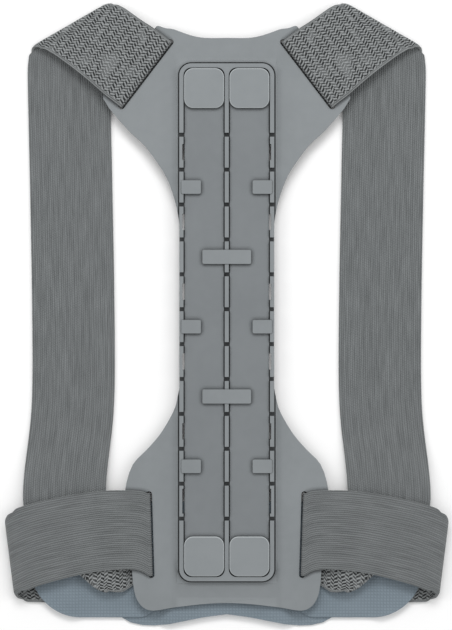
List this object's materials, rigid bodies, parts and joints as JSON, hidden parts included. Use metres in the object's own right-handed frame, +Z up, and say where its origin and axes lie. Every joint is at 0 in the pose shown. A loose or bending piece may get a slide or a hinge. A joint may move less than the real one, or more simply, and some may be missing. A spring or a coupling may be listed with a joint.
{
  "type": "posture corrector",
  "caption": "Grey back brace: moulded back plate with two stays, woven elastic shoulder straps that return as a waist belt, and mesh closure pads.",
  "frame": {"origin": "middle of the footprint, on the surface that it lies on", "axes": "+Z up out of the plate's outer face, +Y towards the shoulders, +X to the right as seen from above"},
  "size_m": [0.2972, 0.416, 0.01],
  "materials": {
    "plate": "matt",
    "stay": "matt",
    "cap": "satin",
    "webbing": "woven elastic, ribbed on one face and herringbone on the other",
    "mesh": "fine mesh"
  },
  "bodies": {
    "root": {"back_plate": "plate", "lumbar_lining": "mesh", "stay_left": "stay", "cap_top_left": "cap", "cap_bottom_left": "cap", "strap_left": "webbing", "closure_pad_left": "mesh", "stay_right": "stay", "cap_top_right": "cap", "cap_bottom_right": "cap", "strap_right": "webbing", "closure_pad_right": "mesh"}
  },
  "joints": []
}
